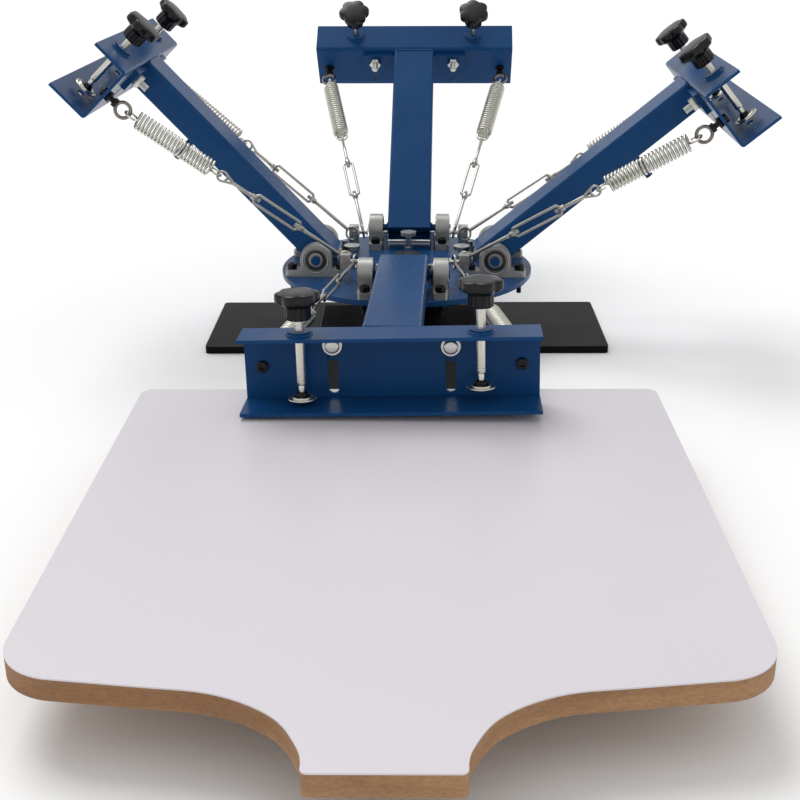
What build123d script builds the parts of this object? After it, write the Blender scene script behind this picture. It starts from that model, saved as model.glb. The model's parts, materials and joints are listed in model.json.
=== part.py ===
"""Tabletop screen printing press: one pallet, four lifting arms on a turntable.

Millimetres. The origin is on the bench under the turntable's axis, +X is to
the operator's right, +Y points away from the operator and +Z is up.
An arm is drawn in its own frame: x runs out along the arm from the hinge,
y runs along the hinge and z is square to both. The function place() stands
it at its station around the turntable.
"""
from build123d import *
import math
import os

os.makedirs("parts", exist_ok=True)

# --- bench base -----------------------------------------------------------
base_x = 436
base_y = 160
base_thick = 8
base_corner = 4
base_hole_x = 180
base_hole_y = 124
base_hole_d = 9
foot_corner = 3

column_flange_r = 55
column_flange_thick = 6
column_r = 38
column_wall = 4
column_cap_thick = 5
flange_bolt_circle_r = 47
flange_bolt_count = 4

# --- turntable ------------------------------------------------------------
bearing_low = 58
bearing_thick = 4
bearing_r = 31
hub_r = 32
disc_low = 70
disc_thick = 6
disc_r = 138.5
spindle_r = 12.5
spindle_clear = 0.05
spindle_washer_r = 21
spindle_washer_thick = 2.5
spindle_washer_gap = 0.3
spindle_nut_af = 36
spindle_nut_high = 9
spindle_thread_r = 10
disc_edge_r = 0.8
rest_turn = -1.55

# --- hinges ---------------------------------------------------------------
hinge_radius = 97
pillow_axis_high = 18
pillow_spread = 39
pillow_long = 67
pillow_wide = 15
pillow_foot = 7
pillow_ring_r = 17
pillow_bore_r = 13
pillow_bolt_spacing = 53
pillow_bolt_hole_r = 3.0
pillow_bolt_r = 2.7
pillow_cap_r = 5.2
pillow_cap_high = 6
pillow_foot_corner = 3
pillow_nut_af = 9
pillow_nut_high = 4.5
pillow_bolt_reach = 26
shaft_r = 5
shaft_half = 48.5
shaft_clear = 0.05
race_short = 2
shield_r = 10.5
shield_deep = 1.2
inner_race_r = 7.6

# --- arms -----------------------------------------------------------------
tube_wide = 50
tube_high = 30
tube_wall = 2
tube_corner = 2.5
tube_low = -12
tube_inner_end = -12
tube_outer_end = 263
peg_out = 181
peg_r = 4
peg_low = -42
plate_thick = 5
plate_half = 65
plate_top = 12
plate_hole_r = 4.25
channel_bolt_spread = 50
channel_bolt_level = 2
arm_down_angle = 2.9

# --- screen channels ------------------------------------------------------
channel_long = 250
channel_top_deep = 40
channel_low_deep = 46
channel_top = 19
channel_bottom = -45.5
channel_thick = 3
channel_bend_r = 3.4
slot_wide = 9
slot_low = -39.5
slot_high = 7.7
eye_spread = 110
eye_level = -14.5
eye_hole_r = 3.2
screw_spread = 75
screw_out = 23
oblong_spread = 76
oblong_long = 11.5
oblong_wide = 6.5
front_channel_tilt = 1.2

# --- arm fasteners --------------------------------------------------------
channel_bolt_r = 4
channel_washer_r = 8.5
channel_washer_thick = 1.6
channel_head_af = 13
channel_head_high = 5.5
channel_nut_high = 6.5
channel_bolt_tail = 8
eye_bolt_r = 3
eye_head_r = 5
eye_head_high = 4
eye_nut_af = 10
eye_nut_high = 4
eye_centre = 248
eye_inner_r = 6.3
eye_outer_r = 9.3
eye_thick = 3
eye_shank_lap = 1.8

# --- clamp screws ---------------------------------------------------------
screw_r = 4
screw_clear = 0.05
weld_nut_r = 10
weld_nut_high = 3.3
foot_r = 12.3
foot_thick = 1.6
foot_ring_r = 8.5
foot_ring_top = 3
foot_boss_low_r = 5.2
foot_boss_top_r = 4.2
foot_boss_high = 6.5
foot_socket_r = 3.2
foot_socket_floor = 2.2
screw_neck_r = 2.8
screw_neck_long = 6
screw_tip_gap = 0.3
knob_over_foot = 69.5
knob_r = 19
knob_lobe_r = 6.8
knob_lobes = 6
knob_high = 14.5
knob_hub_r = 11
knob_hub_high = 12
knob_screw_depth = 16
foot_gaps = {
    "front_left": 5.0,
    "front_right": 13.5,
    "rear_left": 12.5,
    "rear_right": 12.5,
    "left_left": 6.0,
    "left_right": 6.0,
    "right_left": 6.0,
    "right_right": 6.0,
}

# --- balance springs and turnbuckles --------------------------------------
post_spread = 63
post_side = 11
post_high = 30
stub_level = 98
stub_r = 2.2
stub_head_r = 4
stub_head = 1.5
chain_spread = 52.6
stub_inner = 49
loop_inner_r = 5.4
loop_outer_r = 7.6
loop_thick = 2.2
loop_lap = 0.4
loop_a_reach = 10.1
coil_start = 17
coil_r = 8.6
coil_wall = 2.2
loop_b_reach = 6.5
eye_b_reach = 8.7
link_long = 158
link_eye_inner_r = 4
link_eye_outer_r = 6.6
link_eye_thick = 2.6
ring_inner_r = 6.2
ring_outer_r = 8.6
ring_thick = 2.6
ring_short = 1.5
buckle_start = 38
buckle_long = 62
buckle_rod_r = 2
buckle_rod_off = 6.3
buckle_boss_r = 3.4
buckle_boss_long = 8
buckle_rod_lap = 3
buckle_thread_long = 16
link_screw_r = 2.4
buckle_turns = {"front": 0, "left": 0, "rear": 90, "right": 0}
ring_shank_lap = 1.8

# --- tail stops -----------------------------------------------------------
bracket_radius = 71
bracket_half = 27.6
bracket_leg_r = 3
bracket_high = 21
bracket_bar_r = 1.6
bracket_bar_level = 9.5
stud_radius = 61
stud_r = 3
stud_head_r = 9
stud_head_low = 19
stud_head_high = 23
stud_nut_af = 10
stud_nut_high = 5

# --- pallet and its carrier ------------------------------------------------
pallet_top = 59.2
pallet_face_thick = 1
pallet_board_thick = 14
pallet_back = -338
pallet_side = -4.7
pallet_back_cut = 6
pallet_wide = 450
pallet_straight = 405
pallet_corner_r = 30
pallet_long = 526.5
neck_half = 42.5
neck_start = 519
neck_corner_r = 4
# The shoulder's curve: out from the neck's side and back from where the neck starts.
shoulder_curve = [
    (170.5, 85),
    (146.5, 74),
    (90.5, 66.5),
    (61.5, 62.5),
    (47.5, 58),
    (30.5, 49),
    (15.5, 36),
    (6, 20),
    (1.5, 9),
    (0, 0),
]
carrier_wide = 180
carrier_back = -46
carrier_front = -640
carrier_wall = 3
carrier_edge_r = 2
carrier_tab_long = 26
carrier_tab_wide = 24
carrier_tab_thick = 3
carrier_tab_inset = 15
tab_hole_clear = 0.3
front_foot_x = 230
front_foot_y = 40
frame_bolt_r = 4
frame_bolt_head_af = 13
frame_bolt_head_high = 5.3
frame_bolt_short = 1
stop_back = -262
stop_front = -298
stop_wide = 44
stop_gap = 0.3
stop_pad_thick = 4
stop_corner_r = 3

stations = {
    "front": {"azimuth": -90, "lift": arm_down_angle, "tilt": front_channel_tilt},
    "left": {"azimuth": 180, "lift": 46.8, "tilt": 0},
    "rear": {"azimuth": 90, "lift": 39.1, "tilt": 0},
    "right": {"azimuth": 0, "lift": 39.75, "tilt": 0},
}

disc_top = disc_low + disc_thick
hinge_z = disc_top + pillow_axis_high
base_top = base_thick
column_top = bearing_low
carrier_top = pallet_top - pallet_face_thick - pallet_board_thick
web_back = tube_outer_end + plate_thick
web_face = web_back + channel_thick


# --- small helpers ----------------------------------------------------------
def block(x, y, z):
    """A box from its low and high x, y and z."""
    size = (x[1] - x[0], y[1] - y[0], z[1] - z[0])
    middle = ((x[0] + x[1]) / 2, (y[0] + y[1]) / 2, (z[0] + z[1]) / 2)
    return Pos(*middle) * Box(*size)


def rod(radius, start, end):
    """A round bar between two points."""
    run = Vector(*end) - Vector(*start)
    plane = Plane(origin=start, z_dir=run)
    align = (Align.CENTER, Align.CENTER, Align.MIN)
    return plane * Cylinder(radius, run.length, align=align)


def hex_bar(across_flats, start, end):
    """A six-sided bar between two points."""
    run = Vector(*end) - Vector(*start)
    outline = RegularPolygon(across_flats / 2, 6, major_radius=False)
    return Plane(origin=start, z_dir=run) * extrude(outline, run.length)


def flat_ring(outer, inner, thick, centre, across):
    """A flat ring whose hole runs along the direction across."""
    plane = Plane(origin=centre, z_dir=across)
    return plane * (Cylinder(outer, thick) - Cylinder(inner, thick + 2))


def save(shape, node):
    export_step(shape, f"parts/{node}.step")


def seat(azimuth):
    """The place of a station's hinge on the turntable."""
    return Rot(0, 0, azimuth + rest_turn) * Pos(hinge_radius, 0, hinge_z)


def place(station, shape):
    """Stand a piece drawn in arm coordinates at its station."""
    info = stations[station]
    return seat(info["azimuth"]) * Rot(0, -info["lift"], 0) * shape


def group(pieces):
    return Compound(children=pieces)


# --- base -------------------------------------------------------------------
def make_base_plate():
    plate = block((-base_x / 2, base_x / 2), (-base_y / 2, base_y / 2), (0, base_top))
    plate = fillet(plate.edges().filter_by(Axis.Z), base_corner)
    for x in (-base_hole_x / 2, base_hole_x / 2):
        for y in (-base_hole_y / 2, base_hole_y / 2):
            plate -= rod(base_hole_d / 2, (x, y, -1), (x, y, base_top + 1))
    return plate


def make_column():
    foot_top = base_top + column_flange_thick
    cap_low = column_top - column_cap_thick
    column = rod(column_flange_r, (0, 0, base_top), (0, 0, foot_top))
    column += rod(column_r, (0, 0, foot_top), (0, 0, column_top))
    column -= rod(column_r - column_wall, (0, 0, base_top - 1), (0, 0, cap_low))
    column -= rod(spindle_r, (0, 0, cap_low - 1), (0, 0, column_top + 1))
    return column


def make_spindle():
    """The fixed post the turntable turns on, with its washer and top nut."""
    washer_low = disc_top + spindle_washer_gap
    washer_top = washer_low + spindle_washer_thick
    nut_top = washer_top + spindle_nut_high
    thread_r = spindle_thread_r
    shank = rod(spindle_r, (0, 0, base_top), (0, 0, washer_low))
    shank += rod(thread_r, (0, 0, washer_low), (0, 0, nut_top))
    washer = rod(spindle_washer_r, (0, 0, washer_low), (0, 0, washer_top))
    washer -= rod(thread_r, (0, 0, washer_low - 1), (0, 0, washer_top + 1))
    nut = hex_bar(spindle_nut_af, (0, 0, washer_top), (0, 0, nut_top))
    nut -= rod(thread_r, (0, 0, washer_top - 1), (0, 0, nut_top + 1))
    return group([shank, washer, nut])


def make_thrust_bearing():
    top = bearing_low + bearing_thick
    ring = rod(bearing_r, (0, 0, bearing_low), (0, 0, top))
    return ring - rod(spindle_r, (0, 0, bearing_low - 1), (0, 0, top + 1))


def make_carrier():
    """The steel carrier of the pallet: a top plate welded to two side plates."""
    half = carrier_wide / 2
    under = carrier_top - carrier_wall
    run = (carrier_front, carrier_back)
    roof = block((-half, half), run, (under, carrier_top))
    roof = fillet(roof.edges().filter_by(Axis.Y).group_by(Axis.Z)[-1], carrier_edge_r)
    plates = [roof]
    for hand in (-1, 1):
        wall = sorted((hand * (half - carrier_wall), hand * half))
        side = block(wall, run, (base_top, under))
        for x, y in tab_centres():
            if x * hand > 0:
                side += make_tab(x, y)
        plates.append(side)
    return group(plates)


def tab_centres():
    """The bolted feet of the carrier, on the base plate and the front foot."""
    inset = carrier_wide / 2 - carrier_wall - carrier_tab_wide / 2
    back = -base_y / 2 + carrier_tab_inset
    front = carrier_front + front_foot_y / 2
    return [(-inset, back), (inset, back), (-inset, front), (inset, front)]


def make_tab(x, y):
    half_x = carrier_tab_wide / 2
    half_y = carrier_tab_long / 2
    low = base_top
    top = base_top + carrier_tab_thick
    tab = block((x - half_x, x + half_x), (y - half_y, y + half_y), (low, top))
    return tab - rod(frame_bolt_r + tab_hole_clear, (x, y, low - 1), (x, y, top + 1))


def make_front_foot():
    half = front_foot_x / 2
    run = (carrier_front, carrier_front + front_foot_y)
    bar = block((-half, half), run, (0, base_top))
    bar = fillet(bar.edges().filter_by(Axis.Z), foot_corner)
    for x, y in tab_centres():
        if y < -base_y:
            bar -= rod(frame_bolt_r, (x, y, -1), (x, y, base_top + 1))
    return bar


def make_frame_screws():
    """Bolts of the carrier tabs and of the column flange."""
    screws = []
    for x, y in tab_centres():
        low = base_top + carrier_tab_thick
        shank = low - frame_bolt_short
        screws.append(make_bolt((x, y, low), shank))
    for index in range(flange_bolt_count):
        turn = math.radians(45 + 360 * index / flange_bolt_count)
        x = flange_bolt_circle_r * math.cos(turn)
        y = flange_bolt_circle_r * math.sin(turn)
        low = base_top + column_flange_thick
        screws.append(make_bolt((x, y, low), low - frame_bolt_short))
    return group(screws)


def make_bolt(at, shank):
    x, y, z = at
    head_top = z + frame_bolt_head_high
    bolt = hex_bar(frame_bolt_head_af, (x, y, z), (x, y, head_top))
    return bolt + rod(frame_bolt_r, (x, y, z - shank), (x, y, z))


def drill_for_screws(shape):
    """Take the screw holes out of the plates that the frame screws hold."""
    for screw in make_frame_screws().children:
        shape -= screw
    return shape


def pallet_outline():
    """The shirt board's right side, from its straight edge to the neck's end."""
    right = [(pallet_wide / 2, -pallet_straight)]
    for out, back in shoulder_curve:
        right.append((neck_half + out, back - neck_start))
    right.append((neck_half, -pallet_long + neck_corner_r))
    right.append((neck_half - neck_corner_r, -pallet_long))
    return right


def make_pallet(low, top):
    right = pallet_outline()
    half = pallet_wide / 2
    with BuildPart() as part:
        with BuildSketch(Plane.XY.offset(low)):
            with BuildLine():
                cut = pallet_back_cut
                Polyline((-half, -pallet_straight), (-half, -cut), (-half + cut, 0))
                Polyline((-half + cut, 0), (half - cut, 0), (half, -cut), right[0])
                edge_curve(right)
                edge_curve([(-x, y) for x, y in right])
                Line((-right[-1][0], right[-1][1]), right[-1])
            make_face()
        extrude(amount=top - low)
    return Pos(pallet_side, pallet_back, 0) * part.part


def edge_curve(points):
    """The rounded corner, the shoulder and the hollow run to the neck."""
    sign = 1 if points[0][0] > 0 else -1
    corner = [points[0], points[1], points[2]]
    ThreePointArc(*corner)
    Line(points[2], points[3])
    Spline(*points[3:11], tangents=[(-sign, -0.14), (-sign * 0.12, -1)])
    Line(points[10], points[11])
    TangentArc(points[11], points[12], tangent=(0, -1))


def make_landing_stop():
    """The block the lowered arm's peg lands on, with its foot."""
    half = stop_wide / 2
    reach = math.radians(arm_down_angle)
    tip = hinge_z + peg_out * math.sin(reach) + peg_low * math.cos(reach)
    top = tip - peg_r * math.sin(reach) - stop_gap
    body_top = top - stop_pad_thick
    run = (stop_front, stop_back)
    body = block((-half, half), run, (carrier_top, body_top))
    pad = block((-half, half), run, (body_top, top))
    pad = fillet(pad.edges().filter_by(Axis.Z), stop_corner_r)
    return group([body, pad])


# --- turntable ----------------------------------------------------------------
def pillow_feet():
    """Centres of the eight bearing blocks, with their station's azimuth."""
    feet = []
    for info in stations.values():
        for side in (-pillow_spread, pillow_spread):
            feet.append((info["azimuth"], side))
    return feet


def make_disc():
    disc = rod(disc_r, (0, 0, disc_low), (0, 0, disc_top))
    disc = fillet(disc.edges().filter_by(GeomType.CIRCLE), disc_edge_r)
    disc += rod(hub_r, (0, 0, bearing_low + bearing_thick), (0, 0, disc_low))
    low = bearing_low
    disc -= rod(spindle_r + spindle_clear, (0, 0, low), (0, 0, disc_top + 1))
    for azimuth, side in pillow_feet():
        for along in (-pillow_bolt_spacing / 2, pillow_bolt_spacing / 2):
            low_end = (along, side, disc_low - hinge_z - 1)
            top_end = (along, side, disc_top - hinge_z + 1)
            disc -= seat(azimuth) * rod(pillow_bolt_hole_r, low_end, top_end)
    return disc


def make_pillow():
    """One bearing block in its seat frame: a foot, a ring and its cheeks."""
    foot_low = -pillow_axis_high
    foot_top = foot_low + pillow_foot
    half_long = pillow_long / 2
    half_wide = pillow_wide / 2
    foot = block((-half_long, half_long), (-half_wide, half_wide), (foot_low, foot_top))
    foot = fillet(foot.edges().filter_by(Axis.Z), pillow_foot_corner)
    ring = rod(pillow_ring_r, (0, -half_wide, 0), (0, half_wide, 0))
    cheek = block((-pillow_ring_r, pillow_ring_r), (-half_wide, half_wide), (foot_low, 0))
    body = foot + ring + cheek
    body -= rod(pillow_bore_r, (0, -half_wide - 1, 0), (0, half_wide + 1, 0))
    for along in (-pillow_bolt_spacing / 2, pillow_bolt_spacing / 2):
        hole_low = (along, 0, foot_low - 1)
        body -= rod(pillow_bolt_hole_r, hole_low, (along, 0, foot_top + 1))
    return body


def make_insert():
    """The bearing insert: outer race, sunken shield and longer inner race."""
    half = pillow_wide / 2
    race = half - race_short
    shield = race - shield_deep
    insert = rod(pillow_bore_r, (0, -race, 0), (0, race, 0))
    for hand in (-1, 1):
        insert -= rod(shield_r, (0, hand * shield, 0), (0, hand * half, 0))
    insert += rod(inner_race_r, (0, -half, 0), (0, half, 0))
    return insert - rod(shaft_r + shaft_clear, (0, -half - 1, 0), (0, half + 1, 0))


def make_pillow_bolt():
    """Cap screw down through foot and disc, with the nut under the disc."""
    head_low = -pillow_axis_high + pillow_foot
    nut_top = -pillow_axis_high - disc_thick
    tip = head_low - pillow_bolt_reach
    bolt = rod(pillow_cap_r, (0, 0, head_low), (0, 0, head_low + pillow_cap_high))
    bolt += rod(pillow_bolt_r, (0, 0, tip), (0, 0, head_low))
    bolt += hex_bar(pillow_nut_af, (0, 0, nut_top - pillow_nut_high), (0, 0, nut_top))
    return bolt


def make_turntable_set():
    pillows = []
    inserts = []
    bolts = []
    for azimuth, side in pillow_feet():
        spot = seat(azimuth) * Pos(0, side, 0)
        pillows.append(spot * make_pillow())
        inserts.append(spot * make_insert())
        for along in (-pillow_bolt_spacing / 2, pillow_bolt_spacing / 2):
            bolts.append(spot * Pos(along, 0, 0) * make_pillow_bolt())
    return group(pillows), group(inserts), group(bolts)


def make_tail_stops():
    """Per station, a two-legged guard with a cross rod and a headed stud."""
    pieces = []
    for info in stations.values():
        turn = Rot(0, 0, info["azimuth"] + rest_turn) * Pos(0, 0, disc_top)
        guard = rod(bracket_bar_r, (bracket_radius, -bracket_half, bracket_bar_level),
                    (bracket_radius, bracket_half, bracket_bar_level))
        for side in (-bracket_half, bracket_half):
            leg_low = (bracket_radius, side, 0)
            guard += rod(bracket_leg_r, leg_low, (bracket_radius, side, bracket_high))
        stud = rod(stud_r, (stud_radius, 0, 0), (stud_radius, 0, stud_head_low))
        stud += rod(stud_head_r, (stud_radius, 0, stud_head_low),
                    (stud_radius, 0, stud_head_high))
        stud += hex_bar(stud_nut_af, (stud_radius, 0, 0), (stud_radius, 0, stud_nut_high))
        pieces.append(turn * guard)
        pieces.append(turn * stud)
    return group(pieces)


def make_spring_posts():
    """Four square posts; each has a stub for the chain of either neighbour."""
    posts = []
    half = post_side / 2
    for index in range(4):
        spin = Rot(0, 0, 90 * index + rest_turn)
        run = (post_spread - half, post_spread + half)
        post = block(run, run, (disc_top, disc_top + post_high))
        near = post_spread - half
        for swap in (False, True):
            for radius, start, end in (
                (stub_r, near, stub_inner),
                (stub_head_r, stub_inner, stub_inner - stub_head),
            ):
                a = (start, post_spread, stub_level)
                b = (end, post_spread, stub_level)
                if swap:
                    a = (a[1], a[0], a[2])
                    b = (b[1], b[0], b[2])
                post += rod(radius, a, b)
        posts.append(spin * post)
    return group(posts)


# --- arm ----------------------------------------------------------------------
def make_arm():
    """Square tube, hinge shaft, end plate and landing peg, welded in one."""
    top = tube_low + tube_high
    half = tube_wide / 2
    run = (tube_inner_end, web_back)
    tube = block(run, (-half, half), (tube_low, top))
    tube = fillet(tube.edges().filter_by(Axis.X), tube_corner)
    hollow = block((run[0] - 1, run[1] + 1), (-half + tube_wall, half - tube_wall),
                   (tube_low + tube_wall, top - tube_wall))
    tube -= hollow
    plate_run = (tube_outer_end, web_back)
    plate = block(plate_run, (-plate_half, plate_half), (tube_low, plate_top))
    for side in (-channel_bolt_spread, channel_bolt_spread):
        hole_at = (tube_outer_end - 1, side, channel_bolt_level)
        hole_to = (web_back + 1, side, channel_bolt_level)
        plate -= rod(plate_hole_r, hole_at, hole_to)
    shaft = rod(shaft_r, (0, -shaft_half, 0), (0, shaft_half, 0))
    peg = rod(peg_r, (peg_out, 0, peg_low), (peg_out, 0, tube_low))
    return tube + plate + shaft + peg


def make_channel():
    """The folded channel that holds the screen frame, open outwards."""
    back = web_back
    top_front = back + channel_top_deep
    low_front = back + channel_low_deep
    half = channel_long / 2
    web = (back, top_front)
    body = block(web, (-half, half), (channel_bottom, channel_top))
    under = channel_bottom + channel_thick
    body += block((back, low_front), (-half, half), (channel_bottom, under))
    back_edges = body.edges().filter_by(Axis.Y).group_by(Axis.X)[0]
    body = fillet(back_edges, channel_bend_r)
    hollow = block((web_face, low_front + 1), (-half - 1, half + 1),
                   (under, channel_top - channel_thick))
    body -= hollow
    for side in (-1, 1):
        y = side * channel_bolt_spread
        low = slot_low + slot_wide / 2
        high = slot_high - slot_wide / 2
        body -= slot_cut(back, y, low, high)
        y = side * eye_spread
        body -= rod(eye_hole_r, (back - 1, y, eye_level), (web_face + 1, y, eye_level))
        x = back + screw_out
        y = side * screw_spread
        ceiling = channel_top - channel_thick
        weld_nut = rod(weld_nut_r, (x, y, channel_top), (x, y, channel_top + weld_nut_high))
        body += weld_nut
        screw_hole = screw_r + screw_clear
        nut_top = channel_top + weld_nut_high
        body -= rod(screw_hole, (x, y, ceiling - 1), (x, y, nut_top + 1))
        body -= oblong_cut(x, side * oblong_spread)
    return body


def slot_cut(back, y, low, high):
    radius = slot_wide / 2
    start = back - 1
    end = back + channel_thick + 1
    cut = block((start, end), (y - radius, y + radius), (low, high))
    cut += rod(radius, (start, y, low), (end, y, low))
    cut += rod(radius, (start, y, high), (end, y, high))
    return cut


def oblong_cut(x, y):
    radius = oblong_wide / 2
    half = oblong_long / 2 - radius
    low = channel_bottom - 1
    high = channel_bottom + channel_thick + 1
    cut = block((x - radius, x + radius), (y - half, y + half), (low, high))
    for end in (y - half, y + half):
        cut += rod(radius, (x, end, low), (x, end, high))
    return cut


def make_arm_fasteners(tilt):
    """Channel bolts, washers and nuts, and the two eye bolts."""
    back = web_back
    face = web_face
    level = channel_bolt_level
    pieces = []
    for side in (-channel_bolt_spread, channel_bolt_spread):
        washer_top = face + channel_washer_thick
        head_top = washer_top + channel_head_high
        nut_low = tube_outer_end - channel_nut_high
        tail = nut_low - channel_bolt_tail
        washer = rod(channel_washer_r, (face, side, level), (washer_top, side, level))
        washer -= rod(channel_bolt_r, (face - 1, side, level), (washer_top + 1, side, level))
        head = hex_bar(channel_head_af, (washer_top, side, level), (head_top, side, level))
        head += rod(channel_bolt_r, (tail, side, level), (washer_top, side, level))
        nut = hex_bar(channel_head_af, (nut_low, side, level), (tube_outer_end, side, level))
        nut -= rod(channel_bolt_r, (nut_low - 1, side, level), (back, side, level))
        pieces += [washer, head, nut]
    spin = Rot(tilt, 0, 0)
    for side in (-eye_spread, eye_spread):
        pieces.append(spin * make_eye_bolt(side))
    return group(pieces)


def eye_place(side, tilt):
    """Where an eye bolt stands once its channel is tilted."""
    turn = math.radians(tilt)
    y = side * math.cos(turn) - eye_level * math.sin(turn)
    z = side * math.sin(turn) + eye_level * math.cos(turn)
    return y, z


def make_eye_bolt(side):
    back = web_back
    face = web_face
    z = eye_level
    eye = flat_ring(eye_outer_r, eye_inner_r, eye_thick, (eye_centre, side, z), (0, 1, 0))
    shank_low = eye_centre + eye_outer_r - eye_shank_lap
    shank = rod(eye_bolt_r, (shank_low, side, z), (face, side, z))
    head = rod(eye_head_r, (face, side, z), (face + eye_head_high, side, z))
    nut = hex_bar(eye_nut_af, (back - eye_nut_high, side, z), (back, side, z))
    return eye + shank + head + nut


# --- springs and turnbuckles -----------------------------------------------------
def chain_ends(station, side):
    """Eye centre and post stub centre of one chain, in station coordinates.

    Station coordinates have their origin on the hinge: x outwards, z up.
    """
    info = stations[station]
    lift = math.radians(info["lift"])
    y, z = eye_place(side * eye_spread, info["tilt"])
    eye_x = eye_centre * math.cos(lift) - z * math.sin(lift)
    eye_z = eye_centre * math.sin(lift) + z * math.cos(lift)
    stub = (post_spread - hinge_radius, side * chain_spread, stub_level - hinge_z)
    return Vector(eye_x, y, eye_z), Vector(*stub)


def chain_frame(station, side):
    """Plane at the eye whose z runs to the post and whose y lies along the hinge."""
    eye, stub = chain_ends(station, side)
    run = stub - eye
    lift = math.radians(stations[station]["lift"])
    upright = Vector(-math.sin(lift), 0, math.cos(lift))
    along = run.normalized()
    across = along.cross(upright).normalized()
    normal = across.cross(along)
    return Plane(origin=eye, x_dir=normal, z_dir=along), run.length


def coil_length(total):
    """Length of the coil that is left between the end pieces of one chain."""
    ends = coil_start + loop_b_reach + eye_b_reach
    return total - ends - link_long - ring_short


def make_spring(total):
    """Sleeve of the coil with a flat hook loop at each end, along z."""
    top = coil_start + coil_length(total)
    sleeve = rod(coil_r, (0, 0, coil_start), (0, 0, top))
    bore = (coil_start + coil_wall, top - coil_wall)
    sleeve -= rod(coil_r - coil_wall, (0, 0, bore[0]), (0, 0, bore[1]))
    loops = []
    for centre in (loop_a_reach, top + loop_b_reach):
        middle = (0, 0, centre)
        loops.append(flat_ring(loop_outer_r, loop_inner_r, loop_thick, middle, (1, 0, 0)))
    across = (-loop_thick, loop_thick)
    along = (-loop_outer_r - 1, loop_outer_r + 1)
    loops[0] -= block(across, along, (coil_start + loop_lap, coil_start + 2 * loop_outer_r))
    loops[1] -= block(across, along, (top - 2 * loop_outer_r, top - loop_lap))
    return sleeve + loops[0] + loops[1]


def make_link(total, buckle_turn):
    """Turnbuckle: eye screw, two-rod body and ring screw, along z."""
    eye_at = coil_start + coil_length(total) + loop_b_reach + eye_b_reach
    ring_at = eye_at + link_long
    body_low = eye_at + buckle_start
    body_top = body_low + buckle_long
    eye_low = eye_at + link_eye_outer_r - ring_shank_lap
    ring_low = ring_at - ring_outer_r + ring_shank_lap
    centre = (0, 0, eye_at)
    eye = flat_ring(link_eye_outer_r, link_eye_inner_r, link_eye_thick, centre, (0, 1, 0))
    eye += rod(link_screw_r, (0, 0, eye_low), (0, 0, body_low + buckle_thread_long))
    centre = (0, 0, ring_at)
    ring = flat_ring(ring_outer_r, ring_inner_r, ring_thick, centre, (0, 1, 0))
    ring += rod(link_screw_r, (0, 0, body_top - buckle_thread_long), (0, 0, ring_low))
    body = []
    lap = buckle_rod_lap
    for offset in (-buckle_rod_off, buckle_rod_off):
        rod_low = (offset, 0, body_low + lap)
        body.append(rod(buckle_rod_r, rod_low, (offset, 0, body_top - lap)))
    half = buckle_rod_off + buckle_rod_r
    for low in (body_low, body_top - buckle_boss_long):
        top = low + buckle_boss_long
        boss = block((-half, half), (-buckle_boss_r, buckle_boss_r), (low, top))
        boss -= rod(link_screw_r, (0, 0, low - 1), (0, 0, top + 1))
        body.append(boss)
    frame = Rot(0, 0, buckle_turn) * (body[0] + body[1] + body[2] + body[3])
    return [eye, frame, ring]


# --- clamp screws ------------------------------------------------------------------
def screw_x():
    return web_back + screw_out


def make_foot(low):
    """Pressed swivel pad with its raised ring and the cone that holds the screw."""
    ring_top = low + foot_ring_top
    boss_long = foot_boss_high - foot_ring_top
    align = (Align.CENTER, Align.CENTER, Align.MIN)
    pad = rod(foot_r, (0, 0, low), (0, 0, low + foot_thick))
    pad += rod(foot_ring_r, (0, 0, low), (0, 0, ring_top))
    pad += Pos(0, 0, ring_top) * Cone(foot_boss_low_r, foot_boss_top_r, boss_long, align=align)
    floor = low + foot_socket_floor
    return pad - rod(foot_socket_r, (0, 0, floor), (0, 0, low + foot_boss_high + 1))


def make_screw(low):
    tip = low + foot_socket_floor + screw_tip_gap
    shoulder = low + foot_boss_high + screw_neck_long
    top = low + knob_over_foot + knob_screw_depth
    screw = rod(screw_neck_r, (0, 0, tip), (0, 0, shoulder))
    return screw + rod(screw_r, (0, 0, shoulder), (0, 0, top))


def make_knob(low):
    """Six-lobed hand knob over a plain hub."""
    hub_low = low + knob_over_foot
    hub_top = hub_low + knob_hub_high
    top = hub_top + knob_high
    knob = rod(knob_hub_r, (0, 0, hub_low), (0, 0, hub_top))
    core = knob_r - knob_lobe_r
    knob += rod(core, (0, 0, hub_top), (0, 0, top))
    for index in range(knob_lobes):
        turn = 2 * math.pi * index / knob_lobes
        x = core * math.cos(turn)
        y = core * math.sin(turn)
        knob += rod(knob_lobe_r, (x, y, hub_top), (x, y, top))
    return knob - rod(screw_r, (0, 0, hub_low - 1), (0, 0, hub_low + knob_screw_depth))


# --- build and save ----------------------------------------------------------------
base_plate = drill_for_screws(make_base_plate())
column = drill_for_screws(make_column())
save(base_plate, "base_plate")
save(column, "column")
save(make_spindle(), "spindle")
save(make_thrust_bearing(), "thrust_bearing")
save(make_carrier(), "pallet_carrier")
save(make_front_foot(), "front_foot")
save(make_frame_screws(), "frame_screws")
save(make_landing_stop(), "landing_stop")
face_low = pallet_top - pallet_face_thick
save(make_pallet(face_low - pallet_board_thick, face_low), "pallet_board")
save(make_pallet(face_low, pallet_top), "pallet_face")

pillow_set, insert_set, bolt_set = make_turntable_set()
save(make_disc(), "turntable_disc")
save(pillow_set, "pillow_housings")
save(insert_set, "bearing_inserts")
save(bolt_set, "pillow_bolts")
save(make_tail_stops(), "tail_stops")
save(make_spring_posts(), "spring_posts")

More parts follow.
